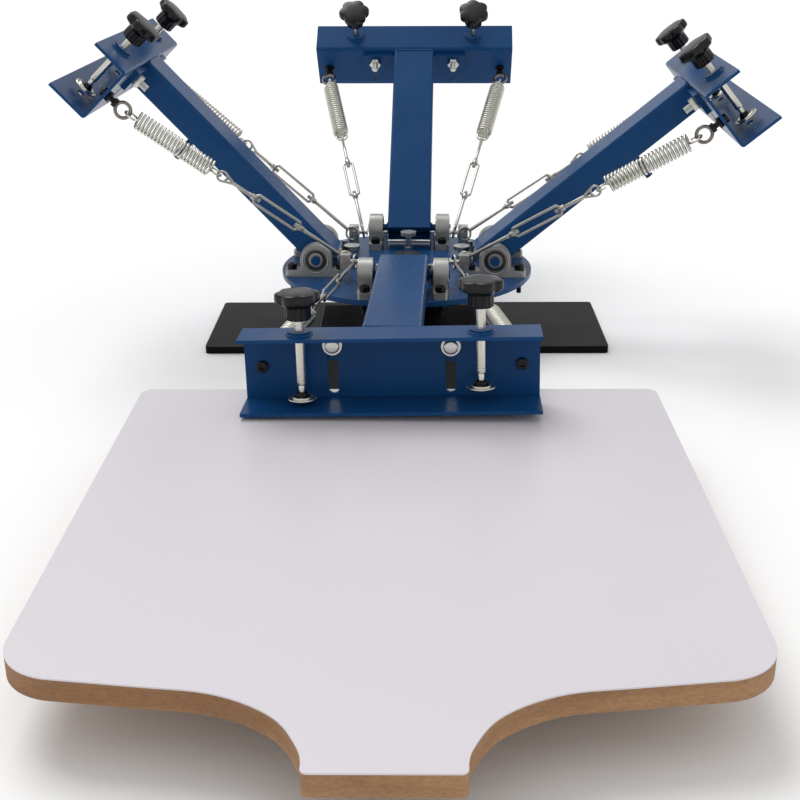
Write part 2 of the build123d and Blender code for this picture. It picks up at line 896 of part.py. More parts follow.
for name, info in stations.items():
    tilted = Rot(info["tilt"], 0, 0)
    save(place(name, make_arm()), f"{name}_arm")
    save(place(name, tilted * make_channel()), f"{name}_channel")
    save(place(name, make_arm_fasteners(info["tilt"])), f"{name}_fasteners")
    springs = []
    links = []
    for hand in (-1, 1):
        frame, total = chain_frame(name, hand)
        springs.append(seat(info["azimuth"]) * frame.location * make_spring(total))
        for piece in make_link(total, buckle_turns[name]):
            links.append(seat(info["azimuth"]) * frame.location * piece)
    save(group(springs), f"{name}_springs")
    save(group(links), f"{name}_links")
    for hand, word in ((-1, "left"), (1, "right")):
        pad_low = channel_bottom + channel_thick + foot_gaps[f"{name}_{word}"]
        spot = tilted * Pos(screw_x(), hand * screw_spread, pad_low)
        save(place(name, spot * make_foot(0)), f"{name}_foot_{word}")
        save(place(name, spot * make_screw(0)), f"{name}_screw_{word}")
        save(place(name, spot * make_knob(0)), f"{name}_knob_{word}")
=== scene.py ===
import json
import math

import bmesh
import bpy
from mathutils import Matrix, Vector


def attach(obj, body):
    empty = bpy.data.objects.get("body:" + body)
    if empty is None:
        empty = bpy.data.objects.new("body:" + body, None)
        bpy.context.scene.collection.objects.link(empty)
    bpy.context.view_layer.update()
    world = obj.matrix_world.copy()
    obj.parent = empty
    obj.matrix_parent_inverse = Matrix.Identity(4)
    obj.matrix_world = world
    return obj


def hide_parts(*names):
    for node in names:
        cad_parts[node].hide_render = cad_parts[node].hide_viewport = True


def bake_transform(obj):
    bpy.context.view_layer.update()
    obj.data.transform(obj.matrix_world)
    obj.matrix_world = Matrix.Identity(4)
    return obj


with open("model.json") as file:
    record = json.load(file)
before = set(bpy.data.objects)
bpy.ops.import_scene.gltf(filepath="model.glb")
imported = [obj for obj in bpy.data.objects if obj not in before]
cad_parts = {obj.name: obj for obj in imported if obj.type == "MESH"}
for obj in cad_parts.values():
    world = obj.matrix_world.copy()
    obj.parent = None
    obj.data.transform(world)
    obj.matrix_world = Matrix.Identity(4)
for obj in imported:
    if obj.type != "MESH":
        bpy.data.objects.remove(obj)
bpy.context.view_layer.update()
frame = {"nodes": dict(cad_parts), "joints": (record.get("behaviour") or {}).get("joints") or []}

MM = 0.001
FULL_TURN = 2 * math.pi
STATIONS = ("front", "left", "rear", "right")
SIDES = (-1, 1)
SIDE_WORD = {-1: "left", 1: "right"}
joints = {joint["name"]: joint for joint in frame["joints"]}

# Tolerances: metres for corners and heights, radians for a turn.
SAME_CORNER = 1e-6
SAME_HEIGHT = 1e-7
SAME_ANGLE = 1e-6

# Camera: where the operator stands. Metres and degrees; lens and sensor in millimetres.
CAMERA_AT = (0.0123, -1.3872, 0.4679)
CAMERA_PITCH = 21.77
CAMERA_YAW = 0.86
CAMERA_ROLL = -0.38
CAMERA_LENS = 57.68
CAMERA_SENSOR = 36
VIEW_REACH = 200

# Studio: a pale floor, an even white sky and one broad soft light from behind.
FLOOR_HALF = 60
FLOOR_TONE = (0.93, 0.93, 0.93, 1)
FLOOR_ROUGHNESS = 0.9
SKY_STRENGTH = 0.76
SUN_TOWARDS = (-0.35, 0.5, 1.0)
SUN_STRENGTH = 1.35
SUN_SPREAD = 36

# From here on, sizes are in millimetres and turns in degrees.
# Arm and channel, from the hinge, as the solids have them.
PLATE_OUT = 263
WEB_BACK = 268
WEB_FRONT = 271
CHANNEL_TOP = 19
SCREW_OUT = 291
SCREW_SPREAD = 75
BOLT_SPREAD = 50
BOLT_LEVEL = 2
EYE_OUT = 248
EYE_SPREAD = 110
EYE_LEVEL = -14.5
TUBE_HALF = 25
TUBE_LOW = -12
TUBE_TOP = 18
PLATE_TOP = 12
WELD_NUT = 10
SHAFT = 5

# Bearing blocks on the turntable's disc, from the hinge.
DISC_BELOW = 18
DISC_THICK = 6
PILLOW_FOOT = 7
PILLOW_SPREAD = 39
PILLOW_BOLTS = 26.5
PILLOW_WIDE = 15
INNER_BORE = 5.1
INNER_RACE = 8
INNER_EASE = 0.5
SEAL_RIM = 11.6
SEAL_REACH = 5
SEAL_LAP_IN = 0.2
SEAL_LAP_OUT = 0.1
SEAL_EASE = 0.2
OUTER_RACE = 13
OUTER_SINK = 0.6
OUTER_EASE = 0.3
# The lip round each housing's bore is drawn in the brighter race steel, a painted highlight on the
# housing's edge.
LIP_HIGHLIGHT_RADIUS = 13.7
LIP_HIGHLIGHT_WIRE = 0.8

# The spring post's stub, from the hinge: inwards, sideways and up.
STUB_BACK = -34
STUB_SPREAD = 52.6
STUB_UP = 4

# Balance spring, along its chain from the eye bolt. Hook A is at the eye bolt.
COIL_START = 17
COIL_WIRE = 1.25
COIL_RADIUS = 8.4
COIL_TURNS = 22
HOOK_A = 6.9
HOOK_B = 6.5
HOOK_SWEEP = 305

# Hook B's middle to the link's eye, and from there to its ring, whose middle stops
# a little short of the stub.
EYE_B = 8.7
LINK_LONG = 158
RING_SHORT = 1.5

# The turnbuckle's two screws: one ends in an eye with two legs, the other in a ring.
LINK_EYE = 5.3
LINK_EYE_WIRE = 1.28
LEG_WIDE = 4.6
LEG_NARROW = 0.7
LEG_START = 2.6
LEG_END = 13
LINK_RING = 7.35
LINK_RING_WIRE = 1.25
SHANK = 1.9
SHANK_START = 12
SHANK_INSIDE = 9
RING_SHANK_END = 7.3
LINK_THREAD = 2.15
LINK_THREAD_DEEP = 0.3
LINK_PITCH = 0.8
LINK_THREAD_OUT = 6

# The turnbuckle's body: two rods drawn in to a collar at either end.
BUCKLE_START = 38
BUCKLE_LONG = 62
BUCKLE_OFF = 5.3
BUCKLE_ROD = 1.55
SHOULDER_LONG = 5.5
SHOULDER_TIP = 1.8
SHOULDER_SHARE = 0.35
COLLAR = 3.2
COLLAR_OUT = 2
COLLAR_IN = 4

# Turns of each arm's turnbuckle bodies, and of its eye rings with the hooks in them.
BUCKLE_TURNS = {"front": 0, "left": 0, "rear": 90, "right": 0}
EYE_TURNS = {"front": 0, "left": 0, "rear": 80, "right": 0}

# Channel bolts. Outlines are (radius, height); these stand on the web's front.
WASHER_OUTLINE = [(4.2, 0), (8.3, 0), (8.5, 0.3), (8.5, 1.3), (8.2, 1.6), (4.2, 1.6)]
DOME_OUTLINE = [(0, 5.2), (4.6, 5.1), (5.7, 4.6), (6.3, 3.4), (6.5, 1.6), (0, 1.6)]
BOLT_RADIUS = 4.0
BOLT_PITCH = 1.25
BOLT_THREAD_DEEP = 0.5
BOLT_ROOT = 3.6
BOLT_IN_HEAD = 2
BOLT_TAIL = 14.5
BOLT_THREAD_TAIL = 14.3
BOLT_THREAD_HEAD = 5
BOLT_NUT = 13
BOLT_NUT_HIGH = 6.5

# Eye bolts: ring, shank, nut, collar and a socket head on the web's front.
EYE_RING = 7.8
EYE_WIRE = 1.8
EYE_SHANK = 2.9
EYE_NUT = 10
EYE_NUT_HIGH = 4
EYE_COLLAR = 8.6
EYE_COLLAR_START = 0.6
EYE_COLLAR_END = 4.6
SOCKET_OUTLINE = [(0, 0), (5, 0), (5, 3.4), (4.4, 4), (2.6, 4), (2.4, 1.8), (0, 1.8)]

# Cap screws of the bearing blocks, from the top of the block's foot.
CAP_OUTLINE = [(0, 0), (5.2, 0), (5.2, 5.5), (4.7, 6), (2.9, 6), (2.7, 5.6), (2.6, 3), (0, 2.6)]
CAP_NUT = 9
CAP_NUT_HIGH = 4.5
CAP_ROOT = 2.5
CAP_IN_HEAD = 1
CAP_TAIL = 26
CAP_RADIUS = 2.7
CAP_PITCH = 0.9
CAP_THREAD_DEEP = 0.3
CAP_THREAD_TAIL = 25.8
CAP_THREAD_LAP = 0.5

# Clamp screws, in heights above the foot's underside. The knob's hub starts at KNOB_LOW.
KNOB_LOW = 69.5
SCREW_RADIUS = 4
SCREW_PITCH = 1.25
SCREW_THREAD_DEEP = 0.16
SCREW_ROOT = 3.88
SCREW_IN_KNOB = 8
THREAD_IN_KNOB = 0.6
NECK_RADIUS = 2.8
NECK_LOW = 2.6
NECK_TOP = 12.5
NECK_LAP = 1
PAD_OUTLINE = [
    (0, 0), (11.2, 0), (12.1, 0.3), (12.3, 0.9), (12, 1.5), (11.3, 1.6), (9.8, 1.1),
    (8.6, 1.2), (8.4, 2.5), (7.8, 3), (6.9, 2.9), (6, 2.2), (0, 2.2),
]
CONE_OUTLINE = [
    (3.25, 2.25), (6.4, 2.25), (6.2, 2.9), (5.1, 3.2), (4.7, 4.6), (4.3, 6.1), (3.8, 6.5),
    (3.25, 6.4), (3.25, 2.25),
]

# Hand knob, in heights above its hub's underside. Cuts are shares of the radius.
KNOB_OUTLINE = [
    (4.2, 0), (9.6, 0), (10.6, 0.7), (10.9, 2), (10.9, 10.2), (11.6, 11.6), (13.6, 12.8),
    (16.6, 13.8), (18.3, 14.7), (18.9, 15.8), (19, 17.4), (18.95, 20.9), (18.6, 22),
    (17.8, 22.6), (15.6, 23.1), (12.5, 23.6), (8, 23.9), (0, 24),
]
KNOB_CORE = 10.4
KNOB_HUB = 11
KNOB_WING = 8.6
KNOB_LOBES = 6
KNOB_FLUTES = 12
LOBE_CUT = 0.16
LOBE_POWER = 0.6
FLUTE_CUT = 0.07
KNOB_SIDE_TURN = 17
KNOB_ARM_TURN = 11

# Weld beads and seams. A ripple is (share of the radius, count in a turn, lag in radians).
NUT_BEAD = 1.6
SHAFT_BEAD = 2.2
BEAD_SINK = 0.3
BEAD_SHOULDER = 0.8
BEAD_SHELF = 0.35
BEAD_ROOT = 0.1
BEAD_RIPPLES = ((0.035, 17, 0), (0.02, 7, 1))
SIDE_SEAM = 1.9
TOP_SEAM = 1.7
SEAM_INSET = 2
TOP_SEAM_BACK = 0.8
TOP_SEAM_SINK = 0.6


# ---------------------------------------------------------------- frames
def axes_matrix(x_axis, y_axis, z_axis, origin):
    """A place given by its three axes and its origin."""
    rows = Matrix((x_axis, y_axis, z_axis)).transposed().to_4x4()
    rows.translation = origin
    return rows


def arm_frame(station):
    """x out along the arm, y along the hinge, z square to the tube's top."""
    lift = joints[f"{station}_lift"]
    across = -Vector(lift["axis"])
    clamp = Vector(joints[f"{station}_foot_left_travel"]["axis"])
    upright = (clamp - clamp.dot(across) * across).normalized()
    return axes_matrix(across.cross(upright), across, upright, Vector(lift["pos_m"]))


def channel_frame(station):
    """The arm's frame, turned with the channel where that is clamped askew."""
    arm = arm_frame(station)
    along = arm.to_3x3() @ Vector((1, 0, 0))
    clamp = Vector(joints[f"{station}_foot_left_travel"]["axis"])
    return axes_matrix(along, clamp.cross(along), clamp, arm.translation)


def hinge_frame(station):
    """At an arm's hinge but level: x outwards, y along the hinge, z up."""
    lift = joints[f"{station}_lift"]
    across = -Vector(lift["axis"])
    upright = Vector((0, 0, 1))
    return axes_matrix(across.cross(upright), across, upright, Vector(lift["pos_m"]))


def chain_frame(station, side):
    """z runs from the eye bolt to the spring post; also the coil's length in millimetres."""
    channel = channel_frame(station)
    arm = arm_frame(station)
    eye = channel @ (Vector((EYE_OUT, side * EYE_SPREAD, EYE_LEVEL)) * MM)
    across = arm.to_3x3() @ Vector((0, 1, 0))
    outward = across.cross(Vector((0, 0, 1)))
    stub = arm.translation + MM * (STUB_BACK * outward + side * STUB_SPREAD * across)
    stub.z += STUB_UP * MM
    along = (stub - eye).normalized()
    upright = arm.to_3x3() @ Vector((0, 0, 1))
    lateral = along.cross(upright).normalized()
    normal = lateral.cross(along)
    reach = (stub - eye).length / MM
    coil = reach - COIL_START - HOOK_B - EYE_B - LINK_LONG - RING_SHORT
    return axes_matrix(normal, along.cross(normal), along, eye), coil


def foot_frame(station, side):
    """z runs up a clamp screw from the underside of its foot."""
    turn = joints[f"{station}_screw_{SIDE_WORD[side]}_turn"]
    place = channel_frame(station)
    place.translation = Vector(turn["pos_m"])
    return place


def shifted(x, y, z):
    """A place moved by so many millimetres."""
    return Matrix.Translation(Vector((x, y, z)) * MM)


def turned(degrees, axis):
    """A place turned about one of its axes."""
    return Matrix.Rotation(math.radians(degrees), 4, axis)


def stand(origin, z_axis):
    """A place whose z runs along z_axis; the origin is in millimetres."""
    turn = Vector((0, 0, 1)).rotation_difference(Vector(z_axis)).to_matrix().to_4x4()
    turn.translation = Vector(origin) * MM
    return turn


# ---------------------------------------------------------------- mesh work
def merge(target, part, place=Matrix.Identity(4)):
    """Adds a finished bmesh to another one, moved to its place."""
    mesh = bpy.data.meshes.new("part")
    part.to_mesh(mesh)
    part.free()
    mesh.transform(place)
    target.from_mesh(mesh)
    bpy.data.meshes.remove(mesh)


def raised(outline, level):
    """The same outline of (radius, height), moved up to a level."""
    return [(radius, level + height) for radius, height in outline]


def draw_outline(part, outline):
    """Draws an outline of (radius, height) beside the z axis, ready to be spun."""
    corners = [part.verts.new((radius * MM, 0, z * MM)) for radius, z in outline]
    edges = [part.edges.new(pair) for pair in zip(corners, corners[1:])]
    return corners + edges


def draw_wire(part, wire, place, sides):
    """Draws the round section of a wire, ready to be spun."""
    made = bmesh.ops.create_circle(part, segments=sides, radius=wire * MM, matrix=place)
    rim = list({edge for vert in made["verts"] for edge in vert.link_edges})
    return made["verts"] + rim


def lathe(outline, steps=40):
    """Turns an outline of (radius, height) around z."""
    part = bmesh.new()
    bmesh.ops.spin(part, geom=draw_outline(part, outline), cent=(0, 0, 0), axis=(0, 0, 1),
                   angle=FULL_TURN, steps=steps, use_merge=True)
    bmesh.ops.remove_doubles(part, verts=part.verts, dist=SAME_CORNER)
    bmesh.ops.recalc_face_normals(part, faces=part.faces)
    return part


def bar(radius, low, high, segments=20, bevel=0.0):
    """A bar of so many sides along z; a bevel eases its ends."""
    part = bmesh.new()
    place = Matrix.Translation((0, 0, (low + high) / 2 * MM))
    bmesh.ops.create_cone(part, cap_ends=True, segments=segments, radius1=radius * MM,
                          radius2=radius * MM, depth=(high - low) * MM, matrix=place)
    if bevel:
        ease_ends(part, bevel)
    return part


def hexagon(across_flats, low, high, bevel=0.5):
    """A hexagon nut or collar along z."""
    return bar(across_flats / math.sqrt(3), low, high, segments=6, bevel=bevel)


def ease_ends(part, bevel):
    """Bevels the rims of a bar's flat ends."""
    rims = [e for e in part.edges if abs(e.verts[0].co.z - e.verts[1].co.z) < SAME_HEIGHT]
    bmesh.ops.bevel(part, geom=rims, offset=bevel * MM, segments=2, profile=0.5,
                    affect="EDGES", material=-1)


def wire_arc(centre, axis, start, angle, wire, steps, sides=8):
    """Sweeps a round wire around an axis, from a start point."""
    part = bmesh.new()
    centre, axis, start = Vector(centre), Vector(axis).normalized(), Vector(start)
    radial = (start - centre).normalized()
    tangent = axis.cross(radial)
    place = axes_matrix(radial, axis, -tangent, start * MM)
    full = abs(abs(angle) - FULL_TURN) < SAME_ANGLE
    bmesh.ops.spin(part, geom=draw_wire(part, wire, place, sides), cent=centre * MM,
                   axis=axis, angle=angle, steps=steps, use_merge=full)
    close_ends(part, full)
    return part


def wire_ring(level, axis, radius, wire, steps, sides=8):
    """A closed ring of round wire, its middle at a level on the z axis."""
    return wire_arc((0, 0, level), axis, (radius, 0, level), FULL_TURN, wire, steps, sides)


def wire_helix(radius, low, high, turns, wire, steps_per_turn=22, sides=8):
    """The coil of a spring along z, starting on the x axis and turning backwards."""
    part = bmesh.new()
    place = axes_matrix(Vector((1, 0, 0)), Vector((0, 0, 1)), Vector((0, -1, 0)),
                        Vector((radius * MM, 0, low * MM)))
    steps = round(turns * steps_per_turn)
    rise = (high - low) * MM / steps
    bmesh.ops.spin(part, geom=draw_wire(part, wire, place, sides), cent=(0, 0, 0),
                   axis=(0, 0, 1), dvec=(0, 0, rise), angle=-FULL_TURN * turns, steps=steps)
    close_ends(part, False)
    return part


def close_ends(part, full):
    """Welds a full turn of wire where it meets itself, or caps its two ends."""
    if full:
        bmesh.ops.remove_doubles(part, verts=part.verts, dist=SAME_CORNER)
    else:
        loose = [edge for edge in part.edges if edge.is_boundary]
        bmesh.ops.holes_fill(part, edges=loose, sides=0)
    bmesh.ops.recalc_face_normals(part, faces=part.faces)


def thread(radius, depth, pitch, low, high, steps_per_turn=14):
    """A sharp thread ridge that winds up a bar along z."""
    part = bmesh.new()
    root = radius - depth
    outline = ((root, low), (radius, low + pitch / 2), (root, low + pitch))
    turns = (high - low - pitch) / pitch
    steps = round(turns * steps_per_turn)
    bmesh.ops.spin(part, geom=draw_outline(part, outline), cent=(0, 0, 0), axis=(0, 0, 1),
                   dvec=(0, 0, (high - low - pitch) * MM / steps),
                   angle=FULL_TURN * turns, steps=steps)
    bmesh.ops.recalc_face_normals(part, faces=part.faces)
    return part


def strut(radius, start, end, segments=12):
    """A round bar between two points."""
    run = Vector(end) - Vector(start)
    part = bar(radius, 0, run.length, segments)
    bmesh.ops.transform(part, matrix=stand(start, run), verts=part.verts)
    return part


def knuckle(radius, centre):
    """A ball that rounds off a bend in a bar."""
    part = bmesh.new()
    bmesh.ops.create_uvsphere(part, u_segments=12, v_segments=8, radius=radius * MM,
                              matrix=shifted(*centre))
    return part


def piece(name, part, material, body, replaced=(), smooth=35):
    """Makes an object of a finished bmesh and rides it on a body."""
    mesh = bpy.data.meshes.new(name)
    part.to_mesh(mesh)
    part.free()
    item = bpy.data.objects.new(name, mesh)
    bpy.context.scene.collection.objects.link(item)
    mesh.materials.append(material)
    shade(mesh, smooth)
    if replaced:
        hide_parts(*replaced)
    if body:
        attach(item, body)
    return item


def shade(mesh, angle):
    """Smooth shading with sharp edges past an angle in degrees."""
    work = bmesh.new()
    work.from_mesh(mesh)
    limit = math.radians(angle)
    for face in work.faces:
        face.smooth = True
    for edge in work.edges:
        if len(edge.link_faces) == 2:
            edge.smooth = edge.calc_face_angle(0) < limit
    work.to_mesh(mesh)
    work.free()


# ---------------------------------------------------------------- materials
def new_material(name):
    """A finish to be filled in: its material, its shader and the object's coordinates."""
    material = bpy.data.materials.new(name)
    material.use_nodes = True
    nodes = material.node_tree.nodes
    shader = nodes["Principled BSDF"]
    place = nodes.new("ShaderNodeTexCoord").outputs["Object"]
    return material, shader, place


def noise(material, place, scale, detail=3.0, rough=0.55, stretch=(1, 1, 1)):
    """Random mottling; a higher stretch packs it closer along that axis."""
    nodes, links = material.node_tree.nodes, material.node_tree.links
    spread = nodes.new("ShaderNodeMapping")
    spread.inputs["Scale"].default_value = stretch
    links.new(place, spread.inputs["Vector"])
    texture = nodes.new("ShaderNodeTexNoise")
    texture.inputs["Scale"].default_value = scale
    texture.inputs["Detail"].default_value = detail
    texture.inputs["Roughness"].default_value = rough
    links.new(spread.outputs["Vector"], texture.inputs["Vector"])
    return texture.outputs["Fac"]


def ramp(material, source, dark, light, start, end):
    """Runs from the dark colour to the light one while a texture goes from start to end."""
    nodes, links = material.node_tree.nodes, material.node_tree.links
    scale = nodes.new("ShaderNodeValToRGB")
    stops = ((start, dark), (end, light))
    for element, (position, colour) in zip(scale.color_ramp.elements, stops):
        element.position = position
        element.color = (*colour, 1)
    links.new(source, scale.inputs["Fac"])
    return scale.outputs["Color"]


def tint(material, shader, source, dark, light, start=0.25, end=0.75):
    """Colours a surface between two tones."""
    tones = ramp(material, source, dark, light, start, end)
    material.node_tree.links.new(tones, shader.inputs["Base Color"])


def gloss(material, shader, source, roughness, start=0.2, end=0.8):
    """Varies the roughness of a surface between two values."""
    low, high = roughness
    greys = ramp(material, source, (low,) * 3, (high,) * 3, start, end)
    material.node_tree.links.new(greys, shader.inputs["Roughness"])


def bump(material, shader, source, strength, distance):
    """Fine relief; the distance is in metres."""
    nodes, links = material.node_tree.nodes, material.node_tree.links
    relief = nodes.new("ShaderNodeBump")
    relief.inputs["Strength"].default_value = strength
    relief.inputs["Distance"].default_value = distance
    links.new(source, relief.inputs["Height"])
    links.new(relief.outputs["Normal"], shader.inputs["Normal"])


def powder_coat(name, dark, light, roughness, sheen):
    """Sprayed paint with an uneven gloss."""
    material, shader, place = new_material(name)
    cloud = noise(material, place, scale=9, detail=4)
    tint(material, shader, cloud, dark, light, start=0.3, end=0.7)
    gloss(material, shader, noise(material, place, scale=18), roughness)
    shader.inputs["Specular IOR Level"].default_value = sheen
    return material


def steel_finish(name, dark, light, roughness):
    """Plated, blackened or bright steel with a faint uneven sheen."""
    material, shader, place = new_material(name)
    tint(material, shader, noise(material, place, scale=30, detail=5), dark, light)
    gloss(material, shader, noise(material, place, scale=60), roughness, start=0.25, end=0.75)
    shader.inputs["Metallic"].default_value = 1.0
    return material


def cast_housing(name, dark, light, roughness):
    """Die-cast zinc with a satin, slightly pitted skin."""
    material, shader, place = new_material(name)
    tint(material, shader, noise(material, place, scale=60, detail=5), dark, light)
    gloss(material, shader, noise(material, place, scale=140), roughness, start=0.35, end=0.65)
    bump(material, shader, noise(material, place, scale=700), strength=0.15, distance=0.0002)
    shader.inputs["Metallic"].default_value = 0.6
    return material


def moulded_plastic(name, dark, light, roughness, sheen):
    """Knob plastic with a soft moulding sheen."""
    material, shader, place = new_material(name)
    tint(material, shader, noise(material, place, scale=50), dark, light)
    gloss(material, shader, noise(material, place, scale=60), roughness)
    shader.inputs["Specular IOR Level"].default_value = sheen
    return material


def laminate(name, dark, light, roughness):
    """Satin melamine face, nearly even in tone and gloss."""
    material, shader, place = new_material(name)
    cloud = noise(material, place, scale=4, detail=5)
    tint(material, shader, cloud, dark, light, start=0.2, end=0.8)
    gloss(material, shader, noise(material, place, scale=30, detail=4), roughness)
    return material


def board_edge(name, dark, light, scorch, roughness):
    """Cut fibreboard: fine fibres, darkened in patches by the saw's scorch."""
    material, shader, place = new_material(name)
    nodes, links = material.node_tree.nodes, material.node_tree.links
    fibre = noise(material, place, scale=260, detail=6, rough=0.7, stretch=(1, 1, 2.6))
    burn = noise(material, place, scale=7, detail=4, rough=0.6, stretch=(1, 1, 6))
    base = ramp(material, fibre, dark, light, start=0.25, end=0.75)
    shadow = ramp(material, burn, scorch, (1, 1, 1), start=0.35, end=0.6)
    mix = nodes.new("ShaderNodeMix")
    mix.data_type = "RGBA"
    mix.blend_type = "MULTIPLY"
    mix.inputs["Factor"].default_value = 1.0
    links.new(base, mix.inputs["A"])
    links.new(shadow, mix.inputs["B"])
    links.new(mix.outputs["Result"], shader.inputs["Base Color"])
    gloss(material, shader, fibre, roughness, start=0.35, end=0.65)
    bump(material, shader, fibre, strength=0.35, distance=0.0005)
    return material


BLUE = powder_coat("blue_powder_coat", dark=(0.005, 0.047, 0.148),
                   light=(0.006, 0.055, 0.17), roughness=(0.24, 0.32), sheen=0.13)
BLACK = powder_coat("black_paint", dark=(0.0025, 0.003, 0.0033),
                    light=(0.0045, 0.005, 0.0053), roughness=(0.35, 0.45), sheen=0.06)
ZINC = steel_finish("zinc_plated_steel", dark=(0.5, 0.5, 0.48),
                    light=(0.64, 0.64, 0.62), roughness=(0.24, 0.32))
SPRING = steel_finish("bright_spring_wire", dark=(0.56, 0.55, 0.49),
                      light=(0.66, 0.65, 0.58), roughness=(0.26, 0.32))
SCREW_STEEL = steel_finish("bright_screw_steel", dark=(0.66, 0.64, 0.57),
                           light=(0.76, 0.74, 0.67), roughness=(0.24, 0.3))
LINK_STEEL = steel_finish("drawn_link_steel", dark=(0.36, 0.35, 0.33),
                          light=(0.46, 0.45, 0.42), roughness=(0.26, 0.34))
EYE_STEEL = steel_finish("dull_eye_steel", dark=(0.17, 0.145, 0.125),
                         light=(0.28, 0.25, 0.22), roughness=(0.28, 0.38))
BEARING_STEEL = steel_finish("dark_bearing_steel", dark=(0.05, 0.05, 0.05),
                             light=(0.1, 0.1, 0.1), roughness=(0.25, 0.35))
# Used for the races, and for the housing lips, where this brighter steel is a painted highlight.
RACE_AND_LIP_HIGHLIGHT_STEEL = steel_finish("ground_race_steel_and_lip_highlight", dark=(0.34, 0.33, 0.31),
                          light=(0.44, 0.43, 0.4), roughness=(0.26, 0.34))
BLACK_STEEL = steel_finish("black_oxide_steel", dark=(0.015, 0.015, 0.016),
                           light=(0.035, 0.035, 0.037), roughness=(0.3, 0.4))
HOUSING = cast_housing("cast_zinc_housing", dark=(0.3, 0.3, 0.285),
                       light=(0.38, 0.38, 0.365), roughness=(0.34, 0.52))
KNOB = moulded_plastic("black_knob_plastic", dark=(0.003, 0.003, 0.003),
                       light=(0.006, 0.006, 0.0057), roughness=(0.24, 0.34), sheen=0.3)
LAMINATE = laminate("white_board_laminate", dark=(0.625, 0.595, 0.63),
                    light=(0.645, 0.615, 0.65), roughness=(0.3, 0.34))
EDGE = board_edge("cut_board_edge", dark=(0.25, 0.125, 0.057), light=(0.44, 0.255, 0.125),
                  scorch=(0.72, 0.66, 0.6), roughness=(0.68, 0.85))

NODE_FINISH = {
    "base_plate": BLACK, "column": BLACK, "spindle": BLACK_STEEL,
    "thrust_bearing": BEARING_STEEL, "pallet_carrier": BLACK, "front_foot": BLACK,
    "frame_screws": ZINC, "landing_stop": BLACK, "pallet_board": EDGE,
    "pallet_face": LAMINATE, "turntable_disc": BLUE, "pillow_housings": HOUSING,
    "bearing_inserts": BEARING_STEEL, "pillow_bolts": BLACK_STEEL, "tail_stops": ZINC,
    "spring_posts": ZINC,
}
for station in STATIONS:
    NODE_FINISH[f"{station}_arm"] = BLUE
    NODE_FINISH[f"{station}_channel"] = BLUE
    for name in ("fasteners", "links", "foot_left", "foot_right", "screw_left", "screw_right"):
        NODE_FINISH[f"{station}_{name}"] = ZINC
    NODE_FINISH[f"{station}_springs"] = SPRING
    for word in SIDE_WORD.values():
        NODE_FINISH[f"{station}_knob_{word}"] = KNOB
for name, node in frame["nodes"].items():
    node.data.materials.clear()
    node.data.materials.append(NODE_FINISH[name])


# ---------------------------------------------------------------- springs
def spring_mesh(coil, eye_turn):
    """Coil with an open hook at either end, along z from the eye."""
    part = bmesh.new()
    low, high = COIL_START, COIL_START + coil
    merge(part, wire_helix(COIL_RADIUS, low, high, COIL_TURNS, COIL_WIRE))
    for level, reach, turn in ((low, -HOOK_A, eye_turn), (high, HOOK_B, 0)):
        swing = math.pi if reach < 0 else -math.pi
        merge(part, wire_arc((COIL_RADIUS / 2, 0, level), (0, 0, 1), (COIL_RADIUS, 0, level),
                             swing, COIL_WIRE, steps=10))
        hook = wire_arc((0, 0, level + reach), (1, 0, 0), (0, 0, level),
                        math.radians(HOOK_SWEEP), COIL_WIRE, steps=26)
        merge(part, hook, turned(turn, "Z"))
    return part


def link_screws(eye_at, ring_at, low, high):
    """Eye screw and ring screw of a turnbuckle whose body runs from low to high."""
    part = bmesh.new()
    merge(part, wire_ring(eye_at, (0, 1, 0), LINK_EYE, LINK_EYE_WIRE, steps=30))
    for hand in SIDES:
        merge(part, strut(LINK_EYE_WIRE, (hand * LEG_WIDE, 0, eye_at + LEG_START),
                          (hand * LEG_NARROW, 0, eye_at + LEG_END)))
    merge(part, bar(SHANK, eye_at + SHANK_START, low + SHANK_INSIDE, segments=14, bevel=0.3))
    merge(part, wire_ring(ring_at, (0, 1, 0), LINK_RING, LINK_RING_WIRE, steps=34))
    merge(part, bar(SHANK, high - SHANK_INSIDE, ring_at - RING_SHANK_END, segments=14, bevel=0.3))
    for start, end in ((low - LINK_THREAD_OUT, low + SHANK_INSIDE),
                       (high - SHANK_INSIDE, high + LINK_THREAD_OUT)):
        merge(part, thread(LINK_THREAD, LINK_THREAD_DEEP, LINK_PITCH, start, end,
                           steps_per_turn=10))
    return part


def link_body(low, high):
    """Two-rod body of a turnbuckle, drawn in to a collar at either end."""
    part = bmesh.new()
    for hand in SIDES:
        off = hand * BUCKLE_OFF
        merge(part, strut(BUCKLE_ROD, (off, 0, low + SHOULDER_LONG),
                          (off, 0, high - SHOULDER_LONG)))
        for start, end in ((low, low + SHOULDER_LONG), (high, high - SHOULDER_LONG)):
            tip = (hand * SHOULDER_TIP, 0, start + (end - start) * SHOULDER_SHARE)
            merge(part, strut(BUCKLE_ROD, tip, (off, 0, end)))
            merge(part, knuckle(BUCKLE_ROD, (off, 0, end)))
    for start, end in ((low - COLLAR_OUT, low + COLLAR_IN), (high - COLLAR_IN, high + COLLAR_OUT)):
        merge(part, bar(COLLAR, start, end, segments=18, bevel=0.9))
    return part


